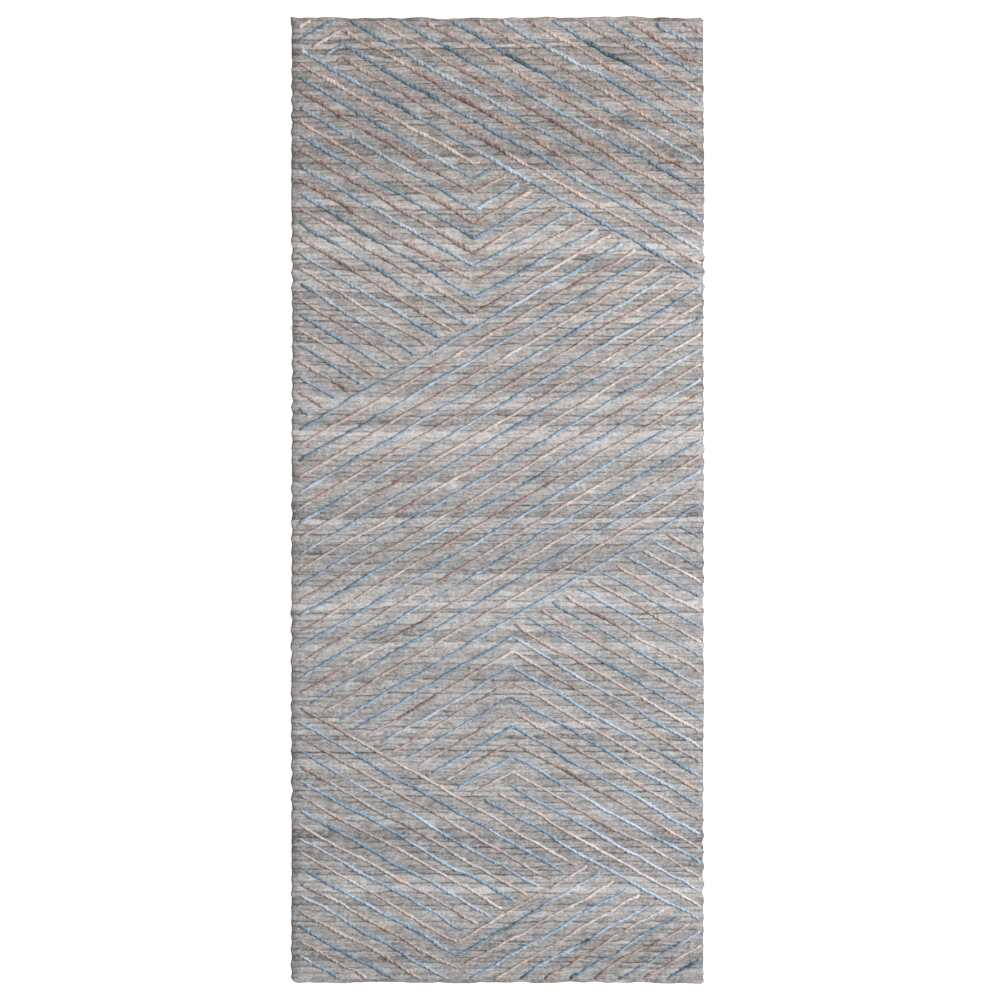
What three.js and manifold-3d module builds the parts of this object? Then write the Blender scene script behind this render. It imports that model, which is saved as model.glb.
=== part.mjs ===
// Runner rug, laid flat: a grey flatwoven ground between two overcast selvedges
// and two rolled end hems, with raised lines of blue and rose yarn on its face.
//
// Millimetres, +Z up. X runs across the rug, Y along it towards the head end.
// The origin is under the middle of the rug, on the surface that it lies on.

import * as THREE from 'three';
import { mergeVertices } from 'three/addons/utils/BufferGeometryUtils.js';
import Module from 'manifold-3d';

const wasm = await Module();
wasm.setup();

// ---------------------------------------------------------------- dimensions

const rugWidth = 784;
const rugLength = 1830;
const groundThickness = 6.5;
const edgeWidth = 6;            // a selvedge or a rolled hem, seen from above
const edgeHeight = 7.6;
const edgeShoulder = 1.4;       // chamfer that rounds an edge roll
const clearance = 0.3;          // between pieces that touch
const cornerRadius = 4;
const wornCornerRadius = 11;    // the foot corner on the left is rounder

const yarnWidth = 7;
const yarnHeight = 3;
const yarnShoulder = { width: 0.84, height: 0.65 };   // shares of the yarn's width and height
const yarnCrown = 0.4;          // the flat top of a raised line, as a share of its width
const carryWidth = 3;           // yarn carried from one line to the next of its run
const carryThickness = 0.5;
const linesPerRun = 3;

// The part of the face that the raised lines cover.
const field = { left: -376, right: 385, head: 909, foot: -907 };
const lineGap = 16;             // left open between a line's end and a dividing line
const footGap = 12;             // the same at the dividing line of the foot end
const chevronGap = 20;          // and under the lowest chevron of the lower field
const shortestArm = 8;          // a chevron arm shorter than this is not laid

// ----------------------------------------------------------------- materials

const finishes = {
  ground: { color: 0xa5a3a2, roughness: 0.95 },
  edging: { color: 0x9b9792, roughness: 0.92 },
  blue: { color: 0x8fa9bb, roughness: 0.85 },
  rose: { color: 0xb59c90, roughness: 0.85 },
};

function finish(name) {
  return new THREE.MeshStandardMaterial({ ...finishes[name], metalness: 0 });
}

// -------------------------------------------------------------------- solids

function solidOf(geometry) {
  geometry.deleteAttribute('normal');
  geometry.deleteAttribute('uv');
  const merged = mergeVertices(geometry);
  return new wasm.Manifold(new wasm.Mesh({
    numProp: 3,
    vertProperties: new Float32Array(merged.attributes.position.array),
    triVerts: new Uint32Array(merged.index.array),
  }));
}

function geometryOf(solid) {
  const mesh = solid.getMesh();
  const geometry = new THREE.BufferGeometry();
  geometry.setAttribute('position', new THREE.BufferAttribute(mesh.vertProperties, 3));
  geometry.setIndex(new THREE.BufferAttribute(mesh.triVerts, 1));
  geometry.computeVertexNormals();
  return geometry;
}

function outlineOf(points) {
  return new THREE.Shape(points.map(([across, up]) => new THREE.Vector2(across, up)));
}

// A bar of one section from a to b, both [x, y], with the section's foot at height z.
function bar(section, a, b, z) {
  const start = new THREE.Vector3(a[0], a[1], z);
  const along = new THREE.Vector3(b[0] - a[0], b[1] - a[1], 0);
  const length = along.length();
  along.normalize();
  const up = new THREE.Vector3(0, 0, 1);
  const across = new THREE.Vector3().crossVectors(up, along);
  const place = new THREE.Matrix4().makeBasis(across, up, along).setPosition(start);
  const extruded = new THREE.ExtrudeGeometry(section, { depth: length, bevelEnabled: false });
  return solidOf(extruded.applyMatrix4(place));
}

function block(width, depth, height, x, y, z) {
  return solidOf(new THREE.BoxGeometry(width, depth, height).translate(x, y, z + height / 2));
}

// ------------------------------------------------------- ground cloth and edges

function rugOutline() {
  const x = rugWidth / 2;
  const y = rugLength / 2;
  const r = cornerRadius;
  const worn = wornCornerRadius;
  const shape = new THREE.Shape();
  shape.moveTo(-x + worn, -y);
  shape.lineTo(x - r, -y);
  shape.absarc(x - r, -y + r, r, -Math.PI / 2, 0);
  shape.absarc(x - r, y - r, r, 0, Math.PI / 2);
  shape.absarc(-x + r, y - r, r, Math.PI / 2, Math.PI);
  shape.absarc(-x + worn, -y + worn, worn, Math.PI, 1.5 * Math.PI);
  const extruded = new THREE.ExtrudeGeometry(shape, {
    depth: edgeHeight,
    bevelEnabled: false,
    curveSegments: 4,
  });
  return solidOf(extruded);
}

const edgeSection = outlineOf([
  [-edgeWidth / 2 + edgeShoulder, 0],
  [edgeWidth / 2 - edgeShoulder, 0],
  [edgeWidth / 2, edgeShoulder],
  [edgeWidth / 2, edgeHeight - edgeShoulder],
  [edgeWidth / 2 - edgeShoulder, edgeHeight],
  [-edgeWidth / 2 + edgeShoulder, edgeHeight],
  [-edgeWidth / 2, edgeHeight - edgeShoulder],
  [-edgeWidth / 2, edgeShoulder],
]);

function selvedge(side, outline) {
  const x = side * (rugWidth - edgeWidth) / 2;
  const roll = bar(edgeSection, [x, -rugLength / 2], [x, rugLength / 2], 0);
  return roll.intersect(outline);
}

function hem(end, outline) {
  const y = end * (rugLength - edgeWidth) / 2;
  const reach = rugWidth / 2 - edgeWidth - clearance;
  const roll = bar(edgeSection, [-reach, y], [reach, y], 0);
  return roll.intersect(outline);
}

function ground(outline) {
  const width = rugWidth - 2 * (edgeWidth + clearance);
  const length = rugLength - 2 * (edgeWidth + clearance);
  return block(width, length, groundThickness, 0, 0, 0).intersect(outline);
}

// -------------------------------------------------------- the pattern of lines

// A course is a straight run: its level is its y where x is 0.
function course(level, slope) {
  return { level, slope };
}

function throughPoint(x, y, slope) {
  return course(y - slope * x, slope);
}

function heightAt(line, x) {
  return line.level + line.slope * x;
}

// Limits say at which x a course stops.
const atX = (x) => () => x;
const atHeight = (y) => (line) => (y - line.level) / line.slope;
const clearOf = (other, lift) => (line) =>
  (other.level + lift - line.level) / (line.slope - other.slope);

// The lines that divide the face into its fields, from the head to the foot.
const headDivider = course(639.5, -0.572);
const upperDivider = course(350.5, 0.579);
const middleDivider = course(-239, 0.597);
const lowestChevronArm = course(-530.5, 0.57);
const lowerDivider = course(-581, -0.563);
const leftDivider = course(-606, -0.569);
const footDivider = course(-793.5, 0.59);

// The axes on which the chevrons turn.
const headAxis = -293;
const upperAxis = -43;
const lowerAxis = 28;
const footAxis = -75;

const toLeft = atX(field.left);
const toRight = atX(field.right);
const toHead = atHeight(field.head);
const toFoot = atHeight(field.foot);

// Each zone is a family of parallel lines. Its levels start at first and step by
// pitch, and its slopes run evenly from the first slope to the last. A chevron
// zone has an axis: first is then the height of its first apex, and its slopes
// are those of the arms to the left and to the right of the axis.
const zones = [
  {
    name: 'head', firstColour: 'rose', count: 17, first: 836, pitch: 27.1,
    axis: headAxis, leftSlopes: [0.575, 0.575], rightSlopes: [-0.574, -0.561],
    from: [toLeft, clearOf(headDivider, lineGap)], to: [toRight],
  },
  {
    name: 'head_divider', firstColour: 'blue', count: 1, first: headDivider.level,
    slopes: [headDivider.slope, headDivider.slope], from: [toLeft], to: [toRight],
  },
  {
    name: 'upper_chevrons', firstColour: 'rose', count: 11, first: 637, pitch: -28.15,
    axis: upperAxis, leftSlopes: [-0.575, -0.595], rightSlopes: [0.565, 0.565],
    from: [toLeft], to: [clearOf(headDivider, -lineGap)],
  },
  {
    name: 'left_wedge', firstColour: 'blue', count: 13, first: 298, pitch: -29.1,
    slopes: [-0.612, -0.6], from: [toLeft], to: [clearOf(upperDivider, lineGap)],
  },
  {
    name: 'upper_divider', firstColour: 'blue', count: 1, first: upperDivider.level,
    slopes: [upperDivider.slope, upperDivider.slope],
    from: [toLeft], to: [clearOf(headDivider, -lineGap)],
  },
  {
    name: 'middle', firstColour: 'rose', count: 19, first: 322, pitch: -29.15,
    slopes: [0.584, 0.598],
    from: [toLeft, clearOf(leftDivider, lineGap)],
    to: [toRight, clearOf(headDivider, -lineGap)],
  },
  {
    name: 'middle_divider', firstColour: 'blue', count: 1, first: middleDivider.level,
    slopes: [middleDivider.slope, middleDivider.slope],
    from: [clearOf(leftDivider, lineGap)], to: [toRight],
  },
  {
    name: 'right_wedge', firstColour: 'rose', count: 14, first: -215.5, pitch: 27.1,
    slopes: [-0.583, -0.54], from: [clearOf(middleDivider, -lineGap)], to: [toRight],
  },
  {
    name: 'lower_chevrons', firstColour: 'blue', count: 10, first: -259, pitch: -28.4,
    axis: lowerAxis, leftSlopes: [0.588, 0.57], rightSlopes: [-0.589, -0.562],
    from: [toLeft, clearOf(leftDivider, lineGap)], to: [toRight],
  },
  {
    name: 'lower_right', firstColour: 'blue', count: 2, first: -526.5, pitch: -27.2,
    slopes: [-0.562, -0.565], from: [clearOf(lowestChevronArm, -chevronGap)], to: [toRight],
  },
  {
    name: 'lower_divider', firstColour: 'blue', count: 1, first: lowerDivider.level,
    slopes: [lowerDivider.slope, lowerDivider.slope],
    from: [clearOf(lowestChevronArm, -chevronGap)], to: [toRight],
  },
  {
    name: 'left_divider', firstColour: 'rose', count: 1, first: leftDivider.level,
    slopes: [leftDivider.slope, leftDivider.slope],
    from: [toLeft], to: [clearOf(footDivider, footGap)],
  },
  {
    name: 'foot', firstColour: 'blue', count: 9, first: -634, pitch: -27.1,
    slopes: [-0.567, -0.557], from: [toLeft], to: [clearOf(footDivider, footGap)],
  },
  {
    name: 'foot_chevrons', firstColour: 'rose', count: 3, first: -837.5, pitch: -25.8,
    axis: footAxis, leftSlopes: [-0.567, -0.555], rightSlopes: [0.59, 0.57],
    from: [toLeft], to: [clearOf(lowerDivider, -lineGap)],
  },
  {
    name: 'foot_corner', firstColour: 'blue', count: 5, first: -959, pitch: -29,
    slopes: [-0.563, -0.563], from: [toLeft], to: [toFoot],
  },
  {
    name: 'foot_right', firstColour: 'blue', count: 9, first: -876.5, pitch: -27.4,
    slopes: [0.575, 0.585], from: [toFoot], to: [toRight, clearOf(lowerDivider, -lineGap)],
  },
];

const otherColour = { blue: 'rose', rose: 'blue' };

function between([first, last], index, count) {
  return count > 1 ? first + (last - first) * index / (count - 1) : first;
}

function furthest(limits, line) {
  return Math.max(...limits.map((limit) => limit(line)));
}

function nearest(limits, line) {
  return Math.min(...limits.map((limit) => limit(line)));
}

function arm(line, from, to) {
  return { line, from, to };
}

function isLaid({ from, to }) {
  return to - from > shortestArm;
}

// One line of a zone as its straight arms, in the order that they are joined.
function armsOf(zone, index) {
  const level = zone.first + (zone.pitch ?? 0) * index;
  if (zone.axis === undefined) {
    const line = course(level, between(zone.slopes, index, zone.count));
    return [arm(line, furthest(zone.from, line), nearest(zone.to, line))];
  }
  const left = throughPoint(zone.axis, level, between(zone.leftSlopes, index, zone.count));
  const right = throughPoint(zone.axis, level, between(zone.rightSlopes, index, zone.count));
  const pastHead = level > field.head;
  const leftEnd = pastHead ? toHead(left) : zone.axis;
  const rightStart = pastHead ? toHead(right) : zone.axis;
  return [
    arm(left, furthest(zone.from, left), leftEnd),
    arm(right, rightStart, nearest(zone.to, right)),
  ];
}

// The lines of a zone, each with its colour. The two arms of a chevron whose apex
// would lie past the head hem are two lines, and the left one is kept apart.
function linesOf(zone) {
  const lines = [];
  const loose = [];
  let colour = zone.firstColour;
  for (let index = 0; index < zone.count; index += 1) {
    const arms = armsOf(zone, index).filter(isLaid);
    const joined = arms.length < 2 || arms[0].to === arms[1].from;
    if (!joined) loose.push({ colour, arms: [arms[0]] });
    lines.push({ colour, arms: joined ? arms : [arms[1]] });
    colour = otherColour[colour];
  }
  return { lines, loose };
}

// --------------------------------------------------------------- raised yarns

const faceHeight = groundThickness + clearance;

const halfYarn = yarnWidth / 2;
const yarnSection = outlineOf([
  [-halfYarn, 0],
  [halfYarn, 0],
  [halfYarn * yarnShoulder.width, yarnHeight * yarnShoulder.height],
  [halfYarn * yarnCrown, yarnHeight],
  [-halfYarn * yarnCrown, yarnHeight],
  [-halfYarn * yarnShoulder.width, yarnHeight * yarnShoulder.height],
]);

// An arm that meets another on the axis runs on far enough to close the corner.
function armSolid({ line, from, to }, joinsBefore, joinsAfter) {
  const perX = 1 / Math.hypot(1, line.slope);
  const cornerReach = halfYarn * Math.abs(line.slope) * perX;
  const start = joinsBefore ? from - cornerReach : from;
  const end = joinsAfter ? to + cornerReach : to;
  return bar(yarnSection, [start, heightAt(line, start)], [end, heightAt(line, end)], faceHeight);
}

// The yarn is trimmed where it would run into the selvedges and the hems.
const trim = block(
  rugWidth - 2 * (edgeWidth + clearance),
  rugLength - 2 * (edgeWidth + clearance),
  2 * yarnHeight, 0, 0, faceHeight,
);

function lineSolid({ arms }) {
  const pieces = arms.map((each, index) =>
    armSolid(each, index > 0, index < arms.length - 1));
  return pieces.reduce((whole, piece) => whole.add(piece)).intersect(trim);
}

function longestArm({ arms }) {
  return arms.reduce((best, each) => (each.to - each.from > best.to - best.from ? each : best));
}

// The yarn of a run goes from one of its lines to the next through a low carry,
// which passes under the line of the other colour that lies between them.
function carryBetween(before, under, after, share) {
  const [a, m, b] = [before, under, after].map(longestArm);
  const from = Math.max(a.from, m.from, b.from);
  const to = Math.min(a.to, m.to, b.to);
  const x = from + (to - from) * share;
  const ends = [heightAt(a.line, x), heightAt(b.line, x)];
  const length = Math.abs(ends[1] - ends[0]);
  const middle = (ends[0] + ends[1]) / 2;
  const tunnelWidth = carryWidth + 2 * clearance;
  return {
    strip: block(carryWidth, length, carryThickness, x, middle, faceHeight),
    tunnel: block(tunnelWidth, length, carryThickness + clearance, x, middle, faceHeight),
  };
}

const carryShare = { blue: 0.36, rose: 0.64 };

// Joins each run of lines of one colour into one solid, and names it.
function yarnRuns(zoneName, lines) {
  const solids = lines.map(lineSolid);
  const runs = [];
  for (const colour of ['blue', 'rose']) {
    const own = lines.map((line, index) => index).filter((index) => lines[index].colour === colour);
    for (let start = 0; start < own.length; start += linesPerRun) {
      runs.push({ colour, number: runs.filter((run) => run.colour === colour).length + 1,
        members: own.slice(start, start + linesPerRun), strips: [] });
    }
  }
  for (const run of runs) {
    for (const index of run.members.slice(1)) {
      const carry = carryBetween(lines[index - 2], lines[index - 1], lines[index], carryShare[run.colour]);
      solids[index - 1] = solids[index - 1].subtract(carry.tunnel);
      run.strips.push(carry.strip);
    }
  }
  return runs.map(({ colour, number, members, strips }) => ({
    name: `${colour}_yarn_${zoneName}_${number}`,
    colour,
    solid: members.map((index) => solids[index]).concat(strips)
      .reduce((whole, piece) => whole.add(piece)),
  }));
}

// ------------------------------------------------------------------- assembly

const rug = new THREE.Group();

function addPiece(name, finishName, solid) {
  const mesh = new THREE.Mesh(geometryOf(solid), finish(finishName));
  mesh.name = name;
  rug.add(mesh);
}

const outline = rugOutline();
addPiece('woven_ground', 'ground', ground(outline));
addPiece('left_selvedge', 'edging', selvedge(-1, outline));
addPiece('right_selvedge', 'edging', selvedge(1, outline));
addPiece('head_hem', 'edging', hem(1, outline));
addPiece('foot_hem', 'edging', hem(-1, outline));

for (const zone of zones) {
  const { lines, loose } = linesOf(zone);
  for (const run of yarnRuns(zone.name, lines)) addPiece(run.name, run.colour, run.solid);
  loose.forEach((line, index) => {
    addPiece(`${line.colour}_yarn_head_corner_${index + 1}`, line.colour, lineSolid(line));
  });
}

export default rug;
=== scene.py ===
# %% [markdown]
# # A runner rug
#
# The real object is one flat cloth. Thick grey weft yarns cross it in rows, packed tight over
# warps that run along it. At the two long edges each weft turns back round a cord, at the two
# short ends the cloth is rolled to a hem, and on the face lie raised lines of blue and rose yarn.
#
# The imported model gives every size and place. Its own yarns are plain straight bars, and here
# each gets the soft, plied yarn that it stands for. Everything is in metres.

# %% Load the frame
import math

import bmesh
import bpy
import numpy as np
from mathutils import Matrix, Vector


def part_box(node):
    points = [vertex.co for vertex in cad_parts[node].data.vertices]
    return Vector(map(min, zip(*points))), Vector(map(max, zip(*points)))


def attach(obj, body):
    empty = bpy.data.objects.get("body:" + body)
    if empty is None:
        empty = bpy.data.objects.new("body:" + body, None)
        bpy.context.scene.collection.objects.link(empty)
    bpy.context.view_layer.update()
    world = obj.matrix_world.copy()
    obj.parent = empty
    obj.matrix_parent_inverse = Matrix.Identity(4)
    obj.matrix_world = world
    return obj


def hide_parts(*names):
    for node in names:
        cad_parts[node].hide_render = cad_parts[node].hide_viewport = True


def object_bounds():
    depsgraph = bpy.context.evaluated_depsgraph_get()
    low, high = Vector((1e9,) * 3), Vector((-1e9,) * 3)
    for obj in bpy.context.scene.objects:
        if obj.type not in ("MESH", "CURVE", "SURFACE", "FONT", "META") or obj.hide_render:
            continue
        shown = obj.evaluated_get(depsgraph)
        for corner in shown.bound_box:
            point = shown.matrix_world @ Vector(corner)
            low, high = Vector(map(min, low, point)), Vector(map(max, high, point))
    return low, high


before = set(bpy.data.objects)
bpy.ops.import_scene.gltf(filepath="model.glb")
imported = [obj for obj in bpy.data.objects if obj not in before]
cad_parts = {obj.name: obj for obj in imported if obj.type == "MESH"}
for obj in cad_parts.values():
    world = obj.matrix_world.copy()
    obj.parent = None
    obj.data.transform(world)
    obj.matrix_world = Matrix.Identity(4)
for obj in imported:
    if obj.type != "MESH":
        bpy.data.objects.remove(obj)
cad_low, cad_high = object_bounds()
scene = bpy.context.scene
mm = 0.001
print("rug", [round(side / mm, 1) for side in cad_high - cad_low], "mm")


# %% [markdown]
# ## Small helpers
#
# An operator acts on all that is selected, so each piece starts from an empty selection. A
# finished piece keeps its place in its mesh, and its object stays at the origin.

# %% Helpers for selecting, finishing and joining
def deselect_all():
    for thing in bpy.context.selected_objects:
        thing.select_set(False)


def select_only(piece):
    deselect_all()
    piece.select_set(True)
    bpy.context.view_layer.objects.active = piece


def apply_modifiers(piece):
    select_only(piece)
    for modifier in list(piece.modifiers):
        bpy.ops.object.modifier_apply(modifier=modifier.name)


def settle(piece):
    select_only(piece)
    bpy.ops.object.transform_apply(location=True, rotation=True, scale=True)


def repeat(piece, count, step, merge=0.0):
    """Repeat a piece in a row, each copy one step on, and merge the ends that meet."""
    row = piece.modifiers.new("repeat", "ARRAY")
    row.count = count
    row.use_relative_offset = False
    row.use_constant_offset = True
    row.constant_offset_displace = step
    row.use_merge_vertices = merge > 0
    row.merge_threshold = merge
    apply_modifiers(piece)


def join(parts, name):
    deselect_all()
    for part in parts:
        part.select_set(True)
    bpy.context.view_layer.objects.active = parts[0]
    if len(parts) > 1:
        bpy.ops.object.join()
    parts[0].name = name
    parts[0].data.name = name
    return parts[0]


def points_of(piece):
    values = np.empty(len(piece.data.vertices) * 3)
    piece.data.vertices.foreach_get("co", values)
    return values.reshape(-1, 3)


def move_points(piece, points):
    piece.data.vertices.foreach_set("co", points.ravel())
    piece.data.update()


def store(piece, name, values):
    layer = piece.data.attributes.get(name) or piece.data.attributes.new(name, "FLOAT", "POINT")
    layer.data.foreach_set("value", np.asarray(values, dtype=np.float32))


def dress(piece, material):
    piece.data.materials.clear()
    piece.data.materials.append(material)
    piece.data.shade_smooth()


# %% [markdown]
# Handspun yarn is never even. Its thickness, its lie and its dye all drift, some quickly and some
# over a hand's breadth. One helper makes all of these: random numbers, smoothed along a row. A noise
# texture could do it too, but numbers can also move points. Their seed is fixed, so the rug is the
# same each time.

# %% A helper for uneven yarn
chance = np.random.default_rng(41)


def drift(rows, columns, spread):
    """One smooth random line in each row, with a mean size of about 1. spread is in columns."""
    reach = max(1, int(3 * spread))
    offsets = np.arange(-reach, reach + 1)
    kernel = np.exp(-0.5 * (offsets / spread) ** 2)
    kernel /= math.sqrt((kernel ** 2).sum())
    raw = chance.standard_normal((rows, columns + 2 * reach))
    return np.array([np.convolve(line, kernel, mode="valid") for line in raw])


# %% [markdown]
# ## Camera, floor and light
#
# The camera looks straight down through a long lens, so the rug's sides stay parallel. The floor is
# plain and pale, and glows a little as a painted light, so that the rug throws hardly any shadow.
# One large soft lamp, rather low on the right, draws the raised yarns: each is bright on its right
# side and shaded on its left. The pale world fills the shade.

# %% Camera
view_width = 1.8944    # a little more than the rug's length, so a rim of floor shows all round
view_centre_x = 4.7 * mm
lens = 100.0
sensor = 36.0
camera_data = bpy.data.cameras.new("overhead_camera")
camera_data.lens = lens
camera_data.sensor_width = sensor
camera = bpy.data.objects.new("overhead_camera", camera_data)
face_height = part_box("woven_ground")[1].z
camera.location = (view_centre_x, 0, face_height + view_width * lens / sensor)
scene.collection.objects.link(camera)
scene.camera = camera
print("camera at", round(camera.location.z, 3), "m")

# %% Floor
floor_gap = 0.2 * mm   # the floor lies just below the cloth, so no two faces share a place
# Painted light: the floor glows, so that the rug's shadow on it is washed out.
floor_painted_glow = 0.7
deselect_all()
bpy.ops.mesh.primitive_plane_add(size=60, location=(0, 0, -floor_gap))
floor = bpy.context.active_object
floor.name = "floor"
floor_finish = bpy.data.materials.new("floor")
floor_finish.use_nodes = True
floor_shader = floor_finish.node_tree.nodes["Principled BSDF"]
floor_shader.inputs["Base Color"].default_value = (0.92, 0.92, 0.92, 1)
floor_shader.inputs["Roughness"].default_value = 0.9
floor_shader.inputs["Emission Color"].default_value = (1, 1, 1, 1)
floor_shader.inputs["Emission Strength"].default_value = floor_painted_glow
floor.data.materials.append(floor_finish)
settle(floor)
print("floor", [round(side) for side in floor.dimensions[:2]], "m, glow", floor_painted_glow)

# %% Light
lamp_distance = 6.0
lamp_elevation = math.radians(36)
lamp_azimuth = math.radians(4)
lamp_data = bpy.data.lights.new("soft_lamp", "AREA")
lamp_data.shape = "DISK"
lamp_data.size = 2.0
lamp_data.energy = 412
lamp = bpy.data.objects.new("soft_lamp", lamp_data)
towards_lamp = Vector((
    math.cos(lamp_elevation) * math.cos(lamp_azimuth),
    math.cos(lamp_elevation) * math.sin(lamp_azimuth),
    math.sin(lamp_elevation),
))
lamp.location = towards_lamp * lamp_distance
lamp.rotation_euler = towards_lamp.to_track_quat("Z", "Y").to_euler()
scene.collection.objects.link(lamp)
print("lamp", lamp_data.size, "m wide, at", [round(value, 2) for value in lamp.location])

world = bpy.data.worlds.new("pale_room")
world.use_nodes = True
world.node_tree.nodes["Background"].inputs["Color"].default_value = (1, 1, 1, 1)
world.node_tree.nodes["Background"].inputs["Strength"].default_value = 0.5
scene.world = world
scene.view_settings.view_transform = "Standard"


# %% [markdown]
# ## Finishes
#
# All the yarns are the same kind of stuff: fibres of several shades, carded together and spun. So
# one node group mixes the shades, and each material places it with its own colours. It reads the
# tone that was stored on each yarn, so that one row can be darker than the next, and adds flecks
# of single fibres and, on the ground, pale and dark strands that run across the rug.

# %% Node helpers
def new_group(name, inputs, outputs):
    group = bpy.data.node_groups.new(name, "ShaderNodeTree")
    for socket, kind, value in inputs:
        made = group.interface.new_socket(socket, in_out="INPUT", socket_type=kind)
        if value is not None:
            made.default_value = value
    for socket, kind in outputs:
        group.interface.new_socket(socket, in_out="OUTPUT", socket_type=kind)
    return group


def add_node(tree, kind, **settings):
    node = tree.nodes.new(kind)
    for key, value in settings.items():
        setattr(node, key, value)
    return node


def stretched_noise(tree, vector, stretch, scale, detail=2.0, roughness=0.6):
    """Noise on a vector that is stretched along each axis. Returns the noise's value."""
    mapping = add_node(tree, "ShaderNodeMapping")
    mapping.inputs["Scale"].default_value = stretch
    tree.links.new(vector, mapping.inputs["Vector"])
    noise = add_node(tree, "ShaderNodeTexNoise")
    noise.inputs["Scale"].default_value = scale
    noise.inputs["Detail"].default_value = detail
    noise.inputs["Roughness"].default_value = roughness
    tree.links.new(mapping.outputs["Vector"], noise.inputs["Vector"])
    return noise.outputs["Fac"]


def arithmetic(tree, operation, first, second, third=None):
    node = add_node(tree, "ShaderNodeMath", operation=operation)
    for socket, value in zip(node.inputs, (first, second, third)):
        if value is None:
            continue
        if isinstance(value, (int, float)):
            socket.default_value = value
        else:
            tree.links.new(value, socket)
    return node.outputs["Value"]


# %% Group: carded shades
def make_carded_shades():
    group = new_group(
        "carded shades",
        [
            ("Vector", "NodeSocketVector", None),
            ("Tone", "NodeSocketFloat", 0.5),
            ("Dark", "NodeSocketColor", (0.1, 0.1, 0.1, 1)),
            ("Middle", "NodeSocketColor", (0.4, 0.4, 0.4, 1)),
            ("Light", "NodeSocketColor", (0.7, 0.7, 0.7, 1)),
            ("Flecks", "NodeSocketFloat", 0.3),
            ("Strands", "NodeSocketFloat", 0.0),
        ],
        [("Colour", "NodeSocketColor")],
    )
    given = add_node(group, "NodeGroupInput").outputs
    result = add_node(group, "NodeGroupOutput")
    fleck = stretched_noise(group, given["Vector"], (0.7, 1, 1), 260, 2.0, 0.65)
    fleck = arithmetic(group, "SUBTRACT", fleck, 0.5)
    flecked = arithmetic(group, "MULTIPLY_ADD", fleck, given["Flecks"], given["Tone"])
    strand = stretched_noise(group, given["Vector"], (0.09, 1, 1), 300, 1.0, 0.5)
    strand = arithmetic(group, "SUBTRACT", strand, 0.5)
    tone = arithmetic(group, "MULTIPLY_ADD", strand, given["Strands"], flecked)
    low = add_node(group, "ShaderNodeMapRange")
    high = add_node(group, "ShaderNodeMapRange")
    for node, start, end in ((low, 0.0, 0.5), (high, 0.5, 1.0)):
        node.inputs["From Min"].default_value = start
        node.inputs["From Max"].default_value = end
        group.links.new(tone, node.inputs["Value"])
    to_middle = add_node(group, "ShaderNodeMix", data_type="RGBA")
    to_light = add_node(group, "ShaderNodeMix", data_type="RGBA")
    group.links.new(low.outputs["Result"], to_middle.inputs["Factor"])
    group.links.new(given["Dark"], to_middle.inputs[6])
    group.links.new(given["Middle"], to_middle.inputs[7])
    group.links.new(high.outputs["Result"], to_light.inputs["Factor"])
    group.links.new(to_middle.outputs[2], to_light.inputs[6])
    group.links.new(given["Light"], to_light.inputs[7])
    group.links.new(to_light.outputs[2], result.inputs["Colour"])
    return group


carded_shades = make_carded_shades()
print(carded_shades.name, "nodes", len(carded_shades.nodes))


# %% [markdown]
# Close to, the yarn is a bundle of fine strands with soft lumps in it. Both are too small to model,
# so they are a height for the Bump node. The strands' height also makes the wool a little rougher
# where it stands up.

# %% Group: spun fibres
def make_spun_fibres():
    group = new_group(
        "spun fibres",
        [("Vector", "NodeSocketVector", None), ("Strand size", "NodeSocketFloat", 1.0)],
        [("Height", "NodeSocketFloat"), ("Roughness", "NodeSocketFloat")],
    )
    source = add_node(group, "NodeGroupInput")
    result = add_node(group, "NodeGroupOutput")
    scaled = add_node(group, "ShaderNodeVectorMath", operation="SCALE")
    group.links.new(source.outputs["Vector"], scaled.inputs[0])
    group.links.new(source.outputs["Strand size"], scaled.inputs["Scale"])
    strands = stretched_noise(group, scaled.outputs["Vector"], (1, 3, 3), 420, 3.0, 0.65)
    lumps = stretched_noise(group, scaled.outputs["Vector"], (1, 1, 1), 150, 1.0, 0.5)
    height = arithmetic(group, "MULTIPLY_ADD", lumps, 0.8, strands)
    roughness = arithmetic(group, "MULTIPLY_ADD", strands, 0.16, 0.8)
    group.links.new(height, result.inputs["Height"])
    group.links.new(roughness, result.inputs["Roughness"])
    return group


spun_fibres = make_spun_fibres()
print(spun_fibres.name, "nodes", len(spun_fibres.nodes))


# %% [markdown]
# Each finish has a dark, a middle and a light shade, and a cast, a tint that comes and goes along
# the yarn: the ground turns warmer towards the head end, the blue turns greyer in places, and the
# rose turns tan. Wool has a faint sheen from its loose fibres and no gloss.

# %% The four finishes
def srgb(red, green, blue):
    """A colour as it is seen, 0 to 255, as the linear values that a shader takes."""
    linear = [((c / 255 + 0.055) / 1.055) ** 2.4 for c in (red, green, blue)]
    return (*linear, 1)


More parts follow.
